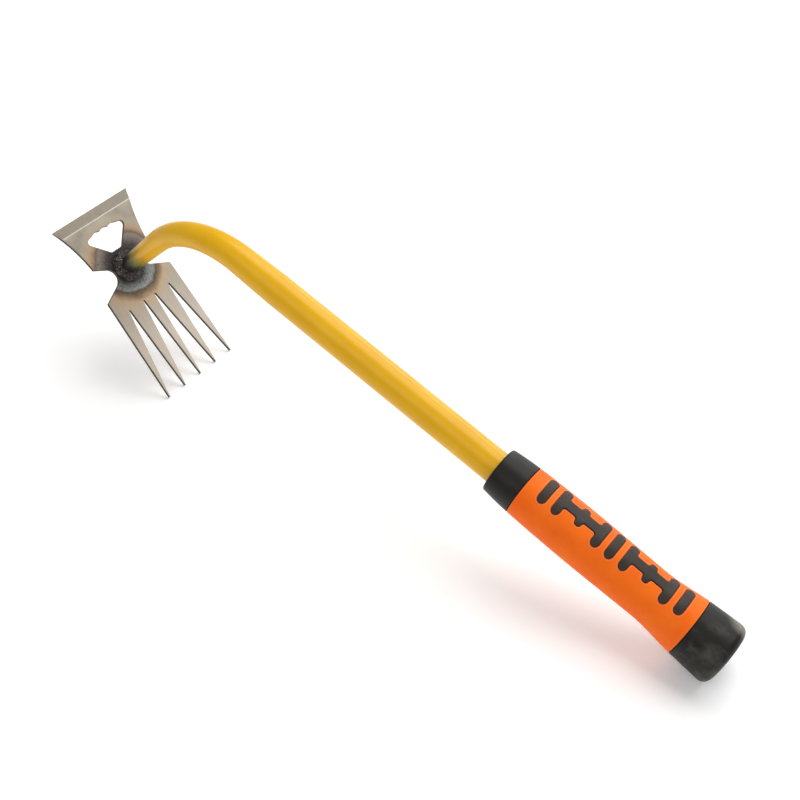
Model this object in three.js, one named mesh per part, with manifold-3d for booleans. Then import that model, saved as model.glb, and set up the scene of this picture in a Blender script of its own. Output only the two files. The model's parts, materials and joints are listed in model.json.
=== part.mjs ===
// Hand weeder: a stamped steel head, with a scraper blade on one side and a five-tine fork on
// the other, welded to a tapered and bent steel tube that carries a two-colour moulded grip.
// Millimetres, +Z up.
//
// The tool stands as it does on a bench, tines down: it touches with the tips of the tines and
// with the low edge of the end cap. +X runs from the head to the grip, Y is the head's width.

import * as THREE from "three";
import { mergeVertices } from "three/addons/utils/BufferGeometryUtils.js";
import Module from "manifold-3d";

const manifold = await Module();
manifold.setup();

// ---------------------------------------------------------------- driving dimensions

// Gap left between pieces that touch
const gap = 0.3;

// Head plate. Reaches are measured from the axis of the tube where it stands on the plate.
const plateThickness = 2.3;
const bladeReach = 43.4;
const bladeWidth = 65;
const bladeSideHollow = 1.5;
const bladeFootReach = 9.5;
const bladeFootWidth = 46.8;
const bevelLength = 7;
const cuttingEdgeThickness = 0.5;
const waistWidth = 22.6;
const waistNotchRadius = 7;
const waistNotchReach = 1;
const shoulderReach = 13.5;
const shoulderWidth = 56.8;

// Fork: an odd number of tines, parted by narrow slots that open into long V gaps
const tineCount = 5;
const tineReach = 86.8;
const tinePitch = 14.85;
const tineTipWidth = 0.6;
const slotReach = 24.7;
const slotRootWidth = 1.2;
const middleTineRoot = 9;
const sideTineRoot = 11.9;

// Hole in the blade, with a shallow scalloped edge along its wide side
const holeNearReach = 12.9;
const holeNearWidth = 9.2;
const holeNearRadius = 2;
const holeFarReach = 27.9;
const holeFarWidth = 37.2;
const holeFarRadius = 2.5;
const holeArchRise = 0.8;
const scallopCount = 3;
const scallopPitch = 7.1;
const scallopDepth = 0.9;

// Tube: straight stub on the plate, one bend, then the straight shaft
const tubeDiameter = 20;
const neckDiameter = 12;
const tubeWall = 1.5;
const taperLength = 159;
const stubLength = 50;
const stubTilt = THREE.MathUtils.degToRad(5.15);
const bendRadius = 72.7;
const shaftRise = THREE.MathUtils.degToRad(31.8);
const shaftRun = 197.3;

// Weld around the foot of the tube
const weldLeg = 4.2;
const weldHeight = 4.8;

// Grip: lengths along the shaft, from the front of the collar
const collarLength = 18.6;
const sleeveLength = 116;
const capLength = 25.4;
const coreWall = 1.8;
const capFloor = 5;
const collarLip = 3.6;
const collarEdgeRadius = 1.4;
const capEdgeRadius = 5;

// Grip: soft wall over the hard core, from the collar over the palm swell to the flared cap
const collarFrontWall = 2;
const sleeveFrontWall = 3.5;
const palmWall = 4.1;
const fingerWall = 3.55;
const flareWall = 3.65;
const sleeveEndWall = 5.9;
const capWall = 7.35;
const palmPlace = 0.34;
const fingerPlace = 0.68;
const flarePlace = 0.82;
const gripDropFront = 0.3;
const gripDropEnd = 2.8;

// Raised pads in the sleeve: bars across the grip, and H shapes with a nub on their web
const padProud = 0.4;
const padSpan = 18.8;
const padBarWidth = 5.4;
const padStep = 9.65;
const padFirst = 11.8;
const padLast = 10.8;
const webWidth = 6.2;
const webFillet = 1.4;
const nubSpan = 13.2;
const nubWidth = 4.7;
const nubTaper = 0.6;

// Corners that would be full half circles keep this share of their radius, so that no edge is lost
const roundShare = 0.98;
const nubRoundShare = 0.9;

// Facets: the longest step along the grip, and what is cut away past a face
const gripStep = 7;
const trim = 3;

// ---------------------------------------------------------------- sizes that follow

const tubeRadius = tubeDiameter / 2;
const neckRadius = neckDiameter / 2;
const stubHeading = -stubTilt;
const shaftHeading = Math.PI / 2 - shaftRise;
const bendAngle = shaftHeading - stubHeading;
const bendLength = bendRadius * bendAngle;
const gripAt = stubLength + bendLength + shaftRun;
const sleeveStart = collarLength + gap;
const sleeveEnd = sleeveStart + sleeveLength;
const capStart = sleeveEnd + gap;
const gripLength = capStart + capLength;
const boreRadius = tubeRadius + gap;
const coreRadius = boreRadius + coreWall;
const coreStart = collarLip + gap;
const coreEnd = gripLength - capFloor - gap;
const tubeEnd = gripAt + coreEnd - gap;
const capRadius = coreRadius + capWall;
const hLength = (sleeveLength - padFirst - padLast - 4 * padStep) / 2;

// ---------------------------------------------------------------- solids

// A closed geometry as a solid, with its shared corners merged.
function solid(geometry) {
  const bare = geometry.clone();
  bare.deleteAttribute("normal");
  bare.deleteAttribute("uv");
  const merged = mergeVertices(bare);
  return new manifold.Manifold(new manifold.Mesh({
    numProp: 3,
    vertProperties: merged.attributes.position.array,
    triVerts: new Uint32Array(merged.index.array),
  }));
}

// The geometry of a solid.
function geometryOf(body) {
  const mesh = body.getMesh();
  const geometry = new THREE.BufferGeometry();
  geometry.setAttribute("position", new THREE.BufferAttribute(mesh.vertProperties, mesh.numProp));
  geometry.setIndex(new THREE.BufferAttribute(mesh.triVerts, 1));
  geometry.computeVertexNormals();
  return geometry;
}

// A profile of (radius, z) points, turned about Z.
function turned(profile, segments) {
  return new THREE.LatheGeometry(profile, segments).rotateX(Math.PI / 2);
}

// A round bar of one radius on the Z axis, from z = start to z = end.
function roundBar(radius, start, end, segments = 32) {
  const profile = [
    new THREE.Vector2(0, start),
    new THREE.Vector2(radius, start),
    new THREE.Vector2(radius, end),
    new THREE.Vector2(0, end),
  ];
  return solid(turned(profile, segments));
}

// A straight prism: an outline drawn in X and Y, from z = bottom to z = top.
function prism(shape, bottom, top, curveSegments = 6) {
  const settings = { depth: top - bottom, bevelEnabled: false, curveSegments };
  return new THREE.ExtrudeGeometry(shape, settings).translate(0, 0, bottom);
}

// The points of an arc about a centre, from one angle to another.
function arcPoints(centreX, centreY, radius, from, to, steps) {
  const points = [];
  for (let i = 0; i <= steps; i += 1) {
    const angle = from + ((to - from) * i) / steps;
    points.push(new THREE.Vector2(
      centreX + radius * Math.cos(angle),
      centreY + radius * Math.sin(angle),
    ));
  }
  return points;
}

// A closed outline through corners [x, y, radius], each corner rounded to its radius.
function roundedCorners(corners, steps = 4) {
  const points = [];
  corners.forEach(([x, y, radius], i) => {
    const corner = new THREE.Vector2(x, y);
    const [beforeX, beforeY] = corners[(i + corners.length - 1) % corners.length];
    const [afterX, afterY] = corners[(i + 1) % corners.length];
    const back = new THREE.Vector2(beforeX, beforeY).sub(corner).normalize();
    const ahead = new THREE.Vector2(afterX, afterY).sub(corner).normalize();
    const half = Math.acos(back.dot(ahead)) / 2;
    const middle = back.clone().add(ahead).normalize().multiplyScalar(radius / Math.sin(half));
    const centre = corner.clone().add(middle);
    const reach = radius / Math.tan(half);
    const from = corner.clone().addScaledVector(back, reach).sub(centre).angle();
    let turn = corner.clone().addScaledVector(ahead, reach).sub(centre).angle() - from;
    if (turn > Math.PI) {
      turn -= 2 * Math.PI;
    }
    if (turn < -Math.PI) {
      turn += 2 * Math.PI;
    }
    points.push(...arcPoints(centre.x, centre.y, radius, from, from + turn, steps));
  });
  return points;
}

// ---------------------------------------------------------------- head plate

// The angle, about a circle, where a line from an outside point touches it.
function tangentAngle(point, centre, radius, side) {
  const away = point.clone().sub(centre);
  return away.angle() + side * Math.acos(radius / away.length());
}

// One side of the head: hollow blade side, foot corner, round waist notch, shoulder.
function headSide() {
  const corner = new THREE.Vector2(-bladeReach, bladeWidth / 2);
  const foot = new THREE.Vector2(-bladeFootReach, bladeFootWidth / 2);
  const shoulder = new THREE.Vector2(shoulderReach, shoulderWidth / 2);
  const inward = foot.clone().sub(corner).normalize();
  const control = corner.clone().add(foot).multiplyScalar(0.5);
  control.add(new THREE.Vector2(inward.y, -inward.x).multiplyScalar(2 * bladeSideHollow));
  const side = new THREE.QuadraticBezierCurve(corner, control, foot).getPoints(8);
  const notch = new THREE.Vector2(waistNotchReach, waistWidth / 2 + waistNotchRadius);
  const from = tangentAngle(foot, notch, waistNotchRadius, 1);
  const to = tangentAngle(shoulder, notch, waistNotchRadius, -1) + 2 * Math.PI;
  side.push(...arcPoints(notch.x, notch.y, waistNotchRadius, from, to, 10));
  side.push(shoulder);
  return side;
}

// The middle of each slot's round end, from the +Y side to the -Y side.
function slotPlaces() {
  const places = [];
  for (let k = 0; k < (tineCount - 1) / 2; k += 1) {
    const place = (middleTineRoot + slotRootWidth) / 2 + k * (sideTineRoot + slotRootWidth);
    places.unshift(place);
    places.push(-place);
  }
  return places;
}

// The tips and slots of the fork, from the +Y side to the -Y side.
function forkEdge() {
  const slots = slotPlaces();
  const rootRadius = slotRootWidth / 2;
  const edge = [];
  for (let i = 0; i < tineCount; i += 1) {
    const tip = ((tineCount - 1) / 2 - i) * tinePitch;
    edge.push(new THREE.Vector2(tineReach, tip + tineTipWidth / 2));
    edge.push(new THREE.Vector2(tineReach, tip - tineTipWidth / 2));
    if (i < slots.length) {
      const x = slotReach + rootRadius;
      edge.push(...arcPoints(x, slots[i], rootRadius, Math.PI / 2, 1.5 * Math.PI, 6));
    }
  }
  return edge;
}

// The hole in the blade: a wedge with round corners, its wide side arched and scalloped.
function bladeHole() {
  const hole = new THREE.Path(roundedCorners([
    [-holeFarReach, holeFarWidth / 2, holeFarRadius],
    [-holeNearReach, holeNearWidth / 2, holeNearRadius],
    [-holeNearReach, -holeNearWidth / 2, holeNearRadius],
    [-holeFarReach, -holeFarWidth / 2, holeFarRadius],
  ]));
  const archHalf = ((scallopCount + 1) / 2) * scallopPitch;
  const archReach = (y) => holeFarReach + holeArchRise * (1 - (y / archHalf) ** 2);
  const first = (-scallopCount / 2) * scallopPitch;
  hole.lineTo(-archReach(first), first);
  for (let i = 0; i < scallopCount; i += 1) {
    const cusp = first + (i + 1) * scallopPitch;
    const middle = cusp - scallopPitch / 2;
    hole.quadraticCurveTo(-archReach(middle) - 2 * scallopDepth, middle, -archReach(cusp), cusp);
  }
  return hole;
}

// The wedge of metal that is ground off to make the blade's bevel.
function bevelWedge() {
  const drop = plateThickness - cuttingEdgeThickness;
  const ridge = -bladeReach + bevelLength;
  const wedge = new THREE.Shape([
    new THREE.Vector2(ridge, 0),
    new THREE.Vector2(ridge + trim, trim),
    new THREE.Vector2(-bladeReach - trim, trim),
    new THREE.Vector2(-bladeReach - trim, -drop * (1 + trim / bevelLength)),
  ]);
  return solid(prism(wedge, -bladeWidth, bladeWidth).rotateX(Math.PI / 2));
}

// Stamped plate: front face, where the tube stands, at z = 0.
function headPlate() {
  const side = headSide();
  const otherSide = side.map((point) => new THREE.Vector2(point.x, -point.y)).reverse();
  const outline = new THREE.Shape([...side, ...forkEdge(), ...otherSide].reverse());
  outline.holes.push(bladeHole());
  const blank = solid(prism(outline, -plateThickness, 0));
  return geometryOf(blank.subtract(bevelWedge()));
}

// ---------------------------------------------------------------- tube and weld

// Where the tube's axis is after a length along it, and how far it has turned from +Z to +X.
function centreline(length) {
  const along = (heading, distance) => ({
    x: Math.sin(heading) * distance,
    z: Math.cos(heading) * distance,
  });
  if (length <= stubLength) {
    return { ...along(stubHeading, length), heading: stubHeading };
  }
  const turn = Math.min((length - stubLength) / bendRadius, bendAngle);
  const heading = stubHeading + turn;
  const foot = along(stubHeading, stubLength);
  const rest = along(heading, length - stubLength - turn * bendRadius);
  return {
    x: foot.x + bendRadius * (Math.cos(stubHeading) - Math.cos(heading)) + rest.x,
    z: foot.z + bendRadius * (Math.sin(heading) - Math.sin(stubHeading)) + rest.z,
    heading,
  };
}

// Bends a straight geometry on the Z axis so that its axis follows the centreline.
function bent(geometry) {
  const position = geometry.attributes.position;
  for (let i = 0; i < position.count; i += 1) {
    const { x, z, heading } = centreline(position.getZ(i));
    const across = position.getX(i);
    position.setX(i, x + across * Math.cos(heading));
    position.setZ(i, z - across * Math.sin(heading));
  }
  return geometry;
}

// The tube's outer radius: it swells evenly from the neck to the full tube.
function tubeRadiusAt(length) {
  const share = THREE.MathUtils.clamp(length / taperLength, 0, 1);
  return neckRadius + (tubeRadius - neckRadius) * share;
}

// The lengths along the tube where its shape changes, the bend in equal steps.
function tubeStations(start) {
  const stations = [start, stubLength];
  const bendSteps = 10;
  for (let i = 1; i <= bendSteps; i += 1) {
    stations.push(stubLength + (bendLength * i) / bendSteps);
  }
  stations.push(taperLength, tubeEnd);
  return stations.sort((a, b) => a - b);
}

// Everything below a level just above the front face of the plate.
function belowFace() {
  const size = 4 * tubeDiameter;
  const block = new THREE.BoxGeometry(size, size, size);
  return solid(block.translate(0, 0, gap - size / 2));
}

// Tapered tube, turned straight, bent, and trimmed flat where it stands on the plate.
function shaftTube() {
  const stations = tubeStations(-trim);
  const outside = stations.map((z) => new THREE.Vector2(tubeRadiusAt(z), z));
  const inside = stations.map((z) => new THREE.Vector2(tubeRadiusAt(z) - tubeWall, z)).reverse();
  const wall = turned([...outside, ...inside, outside[0]], 24);
  return geometryOf(solid(bent(wall)).subtract(belowFace()));
}

// Weld: a round fillet about the foot of the tube.
function weldBead() {
  const inner = tubeRadiusAt(weldHeight) + gap;
  const hump = [];
  const steps = 5;
  for (let i = 0; i <= steps; i += 1) {
    const angle = (i / steps) * (Math.PI / 2);
    hump.push(new THREE.Vector2(
      inner + weldLeg * Math.cos(angle),
      weldHeight * Math.sin(angle),
    ));
  }
  const first = new THREE.Vector2(inner + weldLeg, -trim);
  const last = new THREE.Vector2(inner, -trim);
  const ring = turned([first, ...hump, last, first], 24);
  return geometryOf(solid(bent(ring)).subtract(belowFace()));
}

// ---------------------------------------------------------------- grip
// The grip is built along Z from the front of the collar. -X is its top, over the bend's back.

// The grip's outline as a smooth curve of (z, radius) through its named stations.
const gripCurve = new THREE.SplineCurve([
  new THREE.Vector2(0, coreRadius + collarFrontWall),
  new THREE.Vector2(sleeveStart, coreRadius + sleeveFrontWall),
  new THREE.Vector2(sleeveStart + palmPlace * sleeveLength, coreRadius + palmWall),
  new THREE.Vector2(sleeveStart + fingerPlace * sleeveLength, coreRadius + fingerWall),
  new THREE.Vector2(sleeveStart + flarePlace * sleeveLength, coreRadius + flareWall),
  new THREE.Vector2(sleeveEnd, coreRadius + sleeveEndWall),
  new THREE.Vector2(gripLength, capRadius),
]).getPoints(60);

// The outline's radius at z, between the two nearest points of the curve.
function gripRadiusAt(z) {
  const next = Math.max(1, gripCurve.findIndex((point) => point.x >= z));
  const [a, b] = [gripCurve[next - 1], gripCurve[next]];
  return a.y + ((b.y - a.y) * (z - a.x)) / (b.x - a.x);
}

// How far the grip's outside hangs below the tube's axis: more towards the cap.
function gripDropAt(z) {
  return gripDropFront + ((gripDropEnd - gripDropFront) * z) / gripLength;
}

// A stretch of the grip's outside as a solid, its end edges rounded, hung below the axis.
function gripStretch(start, end, growth, startRadius = 0, endRadius = 0) {
  const profile = [new THREE.Vector2(0, start)];
  const arcSteps = 4;
  const addEdge = (z, radius, from, to, side) => {
    for (let i = 0; i <= arcSteps; i += 1) {
      const angle = from + ((to - from) * i) / arcSteps;
      const centre = z + side * radius;
      profile.push(new THREE.Vector2(
        gripRadiusAt(centre) + growth - radius * (1 - Math.sin(angle)),
        centre - side * radius * Math.cos(angle),
      ));
    }
  };
  const steps = Math.ceil((end - start) / gripStep);
  if (startRadius > 0) {
    addEdge(start, startRadius, 0, Math.PI / 2, 1);
  }
  for (let i = 0; i <= steps; i += 1) {
    const z = start + ((end - start) * i) / steps;
    if (z >= start + startRadius && z <= end - endRadius) {
      profile.push(new THREE.Vector2(gripRadiusAt(z) + growth, z));
    }
  }
  if (endRadius > 0) {
    addEdge(end, endRadius, Math.PI / 2, 0, -1);
  }
  profile.push(new THREE.Vector2(0, end));
  const body = turned(profile, 36);
  const position = body.attributes.position;
  for (let i = 0; i < position.count; i += 1) {
    position.setX(i, position.getX(i) + gripDropAt(position.getZ(i)));
  }
  return solid(body);
}

// Front collar: grips the tube with its lip and reaches back over the core.
function frontCollar() {
  const outside = gripStretch(0, collarLength, 0, collarEdgeRadius, 0);
  const tubeBore = roundBar(boreRadius, -1, collarLength + 1);
  const coreBore = roundBar(coreRadius + gap, collarLip, collarLength + 1);
  return geometryOf(outside.subtract(tubeBore).subtract(coreBore));
}

// End cap: a cup over the ends of the core and the tube, with a flat butt.
function endCap() {
  const outside = gripStretch(capStart, gripLength, 0, 0, capEdgeRadius);
  return geometryOf(outside.subtract(roundBar(coreRadius + gap, capStart - 1, coreEnd + gap)));
}

// Core: the hard tube that the soft sleeve is moulded on.
function gripCore() {
  const outside = roundBar(coreRadius, coreStart, coreEnd);
  return geometryOf(outside.subtract(roundBar(boreRadius, coreStart - 1, coreEnd + 1)));
}

// A bar across the grip: outline in (along, across), grown on all sides.
function barOutline(at, growth) {
  const halfWidth = padBarWidth / 2 + growth;
  const halfSpan = padSpan / 2 + growth;
  const round = halfWidth * roundShare;
  return new THREE.Shape(roundedCorners([
    [at - halfWidth, -halfSpan, round],
    [at + halfWidth, -halfSpan, round],
    [at + halfWidth, halfSpan, round],
    [at - halfWidth, halfSpan, round],
  ]));
}

// Half of an H pad's outline: from the middle of its first bar round one nub to its last bar.
function hHalf(at, growth, side) {
  const barOuter = padBarWidth / 2 + growth;
  const endX = hLength / 2;
  const innerX = endX - padBarWidth / 2 - growth;
  const nubX = nubWidth / 2 + growth;
  const web = side * (webWidth / 2 + growth);
  const bar = side * (padSpan / 2 + growth);
  const nub = side * (nubSpan / 2 + growth);
  const round = barOuter * roundShare;
  const nubRound = (nubX - nubTaper) * nubRoundShare;
  return [
    [at - endX - barOuter, bar, round],
    [at - innerX, bar, round],
    [at - innerX, web, webFillet],
    [at - nubX, web, webFillet],
    [at - nubX + nubTaper, nub, nubRound],
    [at + nubX - nubTaper, nub, nubRound],
    [at + nubX, web, webFillet],
    [at + innerX, web, webFillet],
    [at + innerX, bar, round],
    [at + endX + barOuter, bar, round],
  ];
}

// An H pad along the grip, with a nub on each side of its web.
function hOutline(at, growth) {
  const corners = [...hHalf(at, growth, 1), ...hHalf(at, growth, -1).reverse()];
  return new THREE.Shape(roundedCorners(corners, 3));
}

// The pads of one side, from the collar to the cap: their names, outlines and middles.
function padRow() {
  const row = [];
  let at = sleeveStart + padFirst;
  const place = (name, outline, length) => {
    row.push({ name, outline, at: at + length / 2 });
    at += length + padStep;
  };
  place("pad_bar_front", barOutline, 0);
  place("pad_h_front", hOutline, hLength);
  place("pad_bar_middle", barOutline, 0);
  place("pad_h_rear", hOutline, hLength);
  place("pad_bar_rear", barOutline, 0);
  return row;
}

// A prism of a pad's outline from the grip's axis out to its top, or to its underside.
function padPrism(pad, growth, under) {
  const reach = 2 * capRadius;
  const upright = new THREE.Matrix4().makeBasis(
    new THREE.Vector3(0, 0, 1),
    new THREE.Vector3(0, 1, 0),
    new THREE.Vector3(-1, 0, 0),
  );
  const column = prism(pad.outline(pad.at, growth), 0, reach).applyMatrix4(upright);
  if (under) {
    column.rotateZ(Math.PI);
  }
  return solid(column);
}

// Soft sleeve, with a window for each pad.
function gripSleeve() {
  let sleeve = gripStretch(sleeveStart, sleeveEnd, 0);
  sleeve = sleeve.subtract(roundBar(coreRadius + gap, sleeveStart - 1, sleeveEnd + 1));
  for (const pad of padRow()) {
    sleeve = sleeve.subtract(padPrism(pad, gap, false));
    sleeve = sleeve.subtract(padPrism(pad, gap, true));
  }
  return geometryOf(sleeve);
}

// A pad: the part of the wall inside its outline, standing proud of the sleeve.
function gripPad(pad, under) {
  const wall = gripStretch(sleeveStart, sleeveEnd, padProud);
  const bore = roundBar(coreRadius + gap, sleeveStart - 1, sleeveEnd + 1);
  return geometryOf(wall.intersect(padPrism(pad, 0, under)).subtract(bore));
}

// ---------------------------------------------------------------- materials

const brushedSteel = new THREE.MeshStandardMaterial({ color: 0xb3aba0, roughness: 0.4, metalness: 0.9 });
const burntWeld = new THREE.MeshStandardMaterial({ color: 0x2c2a28, roughness: 0.75, metalness: 0.5 });
const yellowEnamel = new THREE.MeshStandardMaterial({ color: 0xe0a91c, roughness: 0.25, metalness: 0 });
const whitePlastic = new THREE.MeshStandardMaterial({ color: 0xd8d4c8, roughness: 0.5, metalness: 0 });
const orangeRubber = new THREE.MeshStandardMaterial({ color: 0xfa6923, roughness: 0.6, metalness: 0 });
const blackRubber = new THREE.MeshStandardMaterial({ color: 0x2f2e2a, roughness: 0.7, metalness: 0 });

// ---------------------------------------------------------------- assembly

function piece(name, geometry, material) {
  const mesh = new THREE.Mesh(geometry, material);
  mesh.name = name;
  return mesh;
}

// Collar, core, sleeve, pads and cap, placed on the straight end of the tube.
function gripAssembly() {
  const grip = new THREE.Group();
  grip.add(piece("front_collar", frontCollar(), blackRubber));
  grip.add(piece("grip_core", gripCore(), whitePlastic));
  grip.add(piece("grip_sleeve", gripSleeve(), orangeRubber));
  grip.add(piece("end_cap", endCap(), blackRubber));
  for (const pad of padRow()) {
    grip.add(piece(`${pad.name}_top`, gripPad(pad, false), blackRubber));
    grip.add(piece(`${pad.name}_under`, gripPad(pad, true), blackRubber));
  }
  const { x, z, heading } = centreline(gripAt);
  grip.position.set(x, 0, z);
  grip.rotation.y = heading;
  return grip;
}

// The slope of the bench, seen from the plate: the line that touches the tine tips and the
// rounded low edge of the end cap.
function benchSlope() {
  const edgeAt = gripLength - capEdgeRadius;
  const { x, z, heading } = centreline(gripAt + edgeAt);
  const low = gripRadiusAt(edgeAt) + gripDropAt(edgeAt) - capEdgeRadius;
  const edgeX = x + low * Math.cos(heading) - tineReach;
  const edgeZ = z - low * Math.sin(heading) + plateThickness;
  return Math.atan2(edgeZ, edgeX) - Math.asin(capEdgeRadius / Math.hypot(edgeX, edgeZ));
}

const tool = new THREE.Group();
tool.add(piece("head_plate", headPlate(), brushedSteel));
tool.add(piece("weld_bead", weldBead(), burntWeld));
tool.add(piece("shaft_tube", shaftTube(), yellowEnamel));
tool.add(gripAssembly());
tool.rotation.y = benchSlope();

// The origin is on the bench, under the middle of the tool.
const handWeeder = new THREE.Group();
handWeeder.add(tool);
const extent = new THREE.Box3().setFromObject(handWeeder, true);
tool.position.set(-(extent.min.x + extent.max.x) / 2, 0, -extent.min.z);

export default handWeeder;
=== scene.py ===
"""Hand weeder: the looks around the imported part.

A stamped steel head is welded to a yellow enamelled tube, which carries a black and orange rubber
grip. Shapes are worked out in millimetres, flat or straight, and then placed in metres in the
part's own frame.
"""

import json
import math

import bmesh
import bpy
import numpy as np
from mathutils import Matrix, Vector
from mathutils.geometry import delaunay_2d_cdt


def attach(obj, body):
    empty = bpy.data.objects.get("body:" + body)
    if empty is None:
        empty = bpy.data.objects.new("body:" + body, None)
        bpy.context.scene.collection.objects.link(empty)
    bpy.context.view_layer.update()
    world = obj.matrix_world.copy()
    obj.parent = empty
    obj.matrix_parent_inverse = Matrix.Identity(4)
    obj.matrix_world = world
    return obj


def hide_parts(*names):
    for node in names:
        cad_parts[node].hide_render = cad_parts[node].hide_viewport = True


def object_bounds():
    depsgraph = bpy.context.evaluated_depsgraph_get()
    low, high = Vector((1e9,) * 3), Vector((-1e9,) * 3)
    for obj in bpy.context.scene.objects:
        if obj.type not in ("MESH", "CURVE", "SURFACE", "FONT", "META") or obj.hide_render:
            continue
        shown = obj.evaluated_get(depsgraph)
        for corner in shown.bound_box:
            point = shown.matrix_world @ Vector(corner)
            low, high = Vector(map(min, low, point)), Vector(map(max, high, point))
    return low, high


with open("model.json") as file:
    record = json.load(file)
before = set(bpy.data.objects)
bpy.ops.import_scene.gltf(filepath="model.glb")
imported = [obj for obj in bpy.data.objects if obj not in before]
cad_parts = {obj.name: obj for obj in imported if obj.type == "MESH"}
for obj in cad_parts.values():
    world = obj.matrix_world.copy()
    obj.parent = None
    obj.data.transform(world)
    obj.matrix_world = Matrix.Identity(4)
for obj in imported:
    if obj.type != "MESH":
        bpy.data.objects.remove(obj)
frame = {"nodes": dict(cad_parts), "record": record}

CAD_BOX = [list(corner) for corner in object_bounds()]
MM = 0.001
TURN = 2 * math.pi

# ---------------------------------------------------------------- sizes, in millimetres

# Head plate, from the tube's foot: places are (reach, across), with reach towards the fork, and
# minus towards the blade. The hole's corners are (reach, across, radius)
PLATE = 2.3
BLADE_REACH = 43.4
BLADE_WIDTH = 65
BLADE_SIDE_HOLLOW = 1.5
BLADE_FOOT = (-9.5, 23.4)
BEVEL_LENGTH = 7
CUTTING_EDGE = 0.5
RIDGE = -BLADE_REACH + BEVEL_LENGTH
RIDGE_FACET = 0.35
NOTCH_RADIUS = 7
NOTCH_CENTRE = (1, 18.3)
SHOULDER = (13.5, 28.4)
TINE_REACH = 86.8
TINE_PITCH = 14.85
TINE_TIP = 0.6
TINES = 5
SLOT_REACH = 24.7
SLOT_RADIUS = 0.6
SLOT_PLACES = (18.2, 5.1, -5.1, -18.2)
HOLE_CORNERS = ((-27.9, 18.6, 2.5), (-12.9, 4.6, 2), (-12.9, -4.6, 2), (-27.9, -18.6, 2.5))
HOLE_ARCH = 0.8
SCALLOPS = 3
SCALLOP_PITCH = 7.1
SCALLOP_DEPTH = 0.9
SHEARED_EDGE = 0.22
HEAD_MOUNT_REACH = 34

# Tube: a straight stub on the plate, one bend, and the straight shaft
TUBE_RADIUS = 10
NECK_RADIUS = 6
TUBE_WALL = 1.5
TAPER = 159
STUB = 50
STUB_HEADING = math.radians(-5.15)
SHAFT_HEADING = math.radians(90 - 31.8)
BEND_ANGLE = SHAFT_HEADING - STUB_HEADING
BEND_RADIUS = 72.7
SHAFT_RUN = 197.3

# Weld round the tube's foot. Its limit wanders by waves of (number in a turn, size)
WELD_LEG = 4.6
WELD_HEIGHT = 4.8
WELD_SUNK = 0.25
WELD_BORE = NECK_RADIUS - 0.5
WELD_WANDER = ((2, 0.35), (3, 0.25), (7, 0.2), (13, 0.15))
WELD_SEED = 11
LUMPS = 320
LUMP_PLACE = (0.1, 1.45)  # down the section, in radians
LUMP_WIDTH = (0.3, 1.3)
LUMP_PUSH = (-0.4, 0.65)  # over the lump's width
LUMPS_LEVEL_FROM = 1.35  # down the section, in radians
SPATTER = 90
SPATTER_SPREAD = (1.6, 2.6)  # shape and scale of a gamma distribution
SPATTER_SIZE = (0.14, 0.5)

# Grip, along the shaft from the front of the collar. The drops are how far its outside hangs below
# the tube's axis at its ends
GAP = 0.3
COLLAR = 18.6
SLEEVE_START = COLLAR + GAP
SLEEVE = 116
SLEEVE_END = SLEEVE_START + SLEEVE
CAP_START = SLEEVE_END + GAP
GRIP = 160.6
CORE_RADIUS = 12.1
CORE_END = GRIP - 5.3
COLLAR_LIP = 3.6
COLLAR_EDGE = 1.4
CAP_EDGE = 5
# The middle of a pale painted highlight on the cap's shoulder
HIGHLIGHT_AT = (-13.5, 11, 155.5)  # on the shoulder of the butt, in the grip's own lay
SEAM_EDGE = 0.5
DROP_FRONT = 0.3
DROP_END = 2.8
GRIP_STATIONS = (  # (along, radius) of the outside
    (0, 14.1),
    (SLEEVE_START, 15.6),
    (SLEEVE_START + 0.34 * SLEEVE, 16.2),
    (SLEEVE_START + 0.68 * SLEEVE, 15.65),
    (SLEEVE_START + 0.82 * SLEEVE, 15.75),
    (SLEEVE_END, 18),
    (GRIP, 19.45),
)

# Raised pads in the sleeve, laid out on its skin as it unrolls from a cylinder. The lip round a pad
# is (distance out from its window, height) from the skin to the window
UNROLL = 16
PAD_PROUD = 0.4
PAD_SPAN = 18.8
PAD_BAR = 5.4
PAD_FIRST = 11.8
PAD_STEP = 9.65
PAD_EDGE = 0.45
H_LENGTH = 27.4
WEB = 6.2
WEB_FILLET = 1.4
NUB_SPAN = 13.2
NUB = 4.7
NUB_TAPER = 0.6
NUB_ROUND_SHARE = 0.9
ROUND_SHARE = 0.98
POCKET = 0.85
PAD_FOOT_GAP = 0.1
LIP = ((0.95, 0), (0.6, 0.07), (0.33, 0.1), (0.12, 0.02), (0, -0.14))

# How finely the pieces are drawn: points or steps along a stretch, or round a full turn
BLADE_SIDE_POINTS = 33
NOTCH_STEPS = 28
SLOT_STEPS = 10
SCALLOP_POINTS = 10
SHEARED_EDGE_POINTS = 4
TUBE_ROWS = 200
TUBE_COLUMNS = 96
FIRST_RING = 2
WELD_ROWS = 44
WELD_COLUMNS = 220
BALL_ROWS = 7
BALL_COLUMNS = 8
GRIP_COLUMNS = 128
SEAM_STEPS = 6
SLEEVE_ROWS = 104
SLEEVE_COLUMNS = 112
SLEEVE_END_STRIP = 1
SKIN_CLEARANCE = 0.55
PAD_EDGE_POINTS = 6
OUTLINE_STEP = 0.8
POCKET_STEP = 1.2
PAD_FACE_STEP = 1

# ---------------------------------------------------------------- places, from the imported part


def mount(name):
    """A mount's point, in metres, and its outward direction."""
    found = next(m for m in frame["record"]["mounts"] if m["name"] == name)
    return np.array(found["pos_m"]), np.array(found["axis"])


def leaning(way):
    """A direction in the XZ plane, turned a quarter turn in that plane."""
    return np.array([way[2], 0, -way[0]])


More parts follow.
